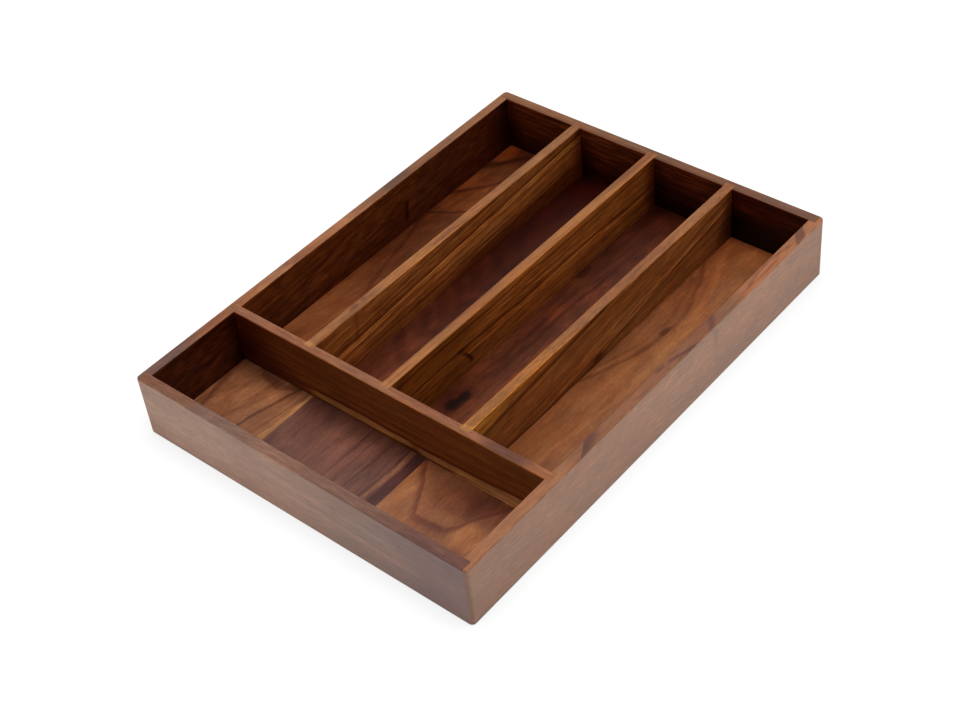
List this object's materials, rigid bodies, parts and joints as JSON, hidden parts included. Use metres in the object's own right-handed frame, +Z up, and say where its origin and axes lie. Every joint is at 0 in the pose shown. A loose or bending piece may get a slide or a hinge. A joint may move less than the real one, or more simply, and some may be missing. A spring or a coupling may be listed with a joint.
{
  "type": "cutlery drawer organizer",
  "caption": "Open wooden cutlery tray for a kitchen drawer, with a cross compartment at the front and long compartments behind it.",
  "frame": {"origin": "on the resting plane, under the middle of the tray", "axes": "+X to the right across the width, +Y from the front wall to the back wall, +Z up"},
  "size_m": [0.26, 0.355, 0.046],
  "materials": {
    "wall_walnut": "oiled walnut, satin",
    "divider_walnut": "oiled walnut, satin",
    "amber_walnut": "oiled walnut, satin",
    "plum_walnut": "oiled walnut, satin"
  },
  "bodies": {
    "root": {"front_wall": "wall_walnut", "back_wall": "wall_walnut", "left_wall": "wall_walnut", "right_wall": "wall_walnut", "cross_divider": "divider_walnut", "left_divider": "divider_walnut", "middle_divider": "divider_walnut", "right_divider": "divider_walnut", "left_floor_board": "amber_walnut", "middle_floor_board": "plum_walnut", "right_floor_board": "amber_walnut"}
  },
  "joints": []
}
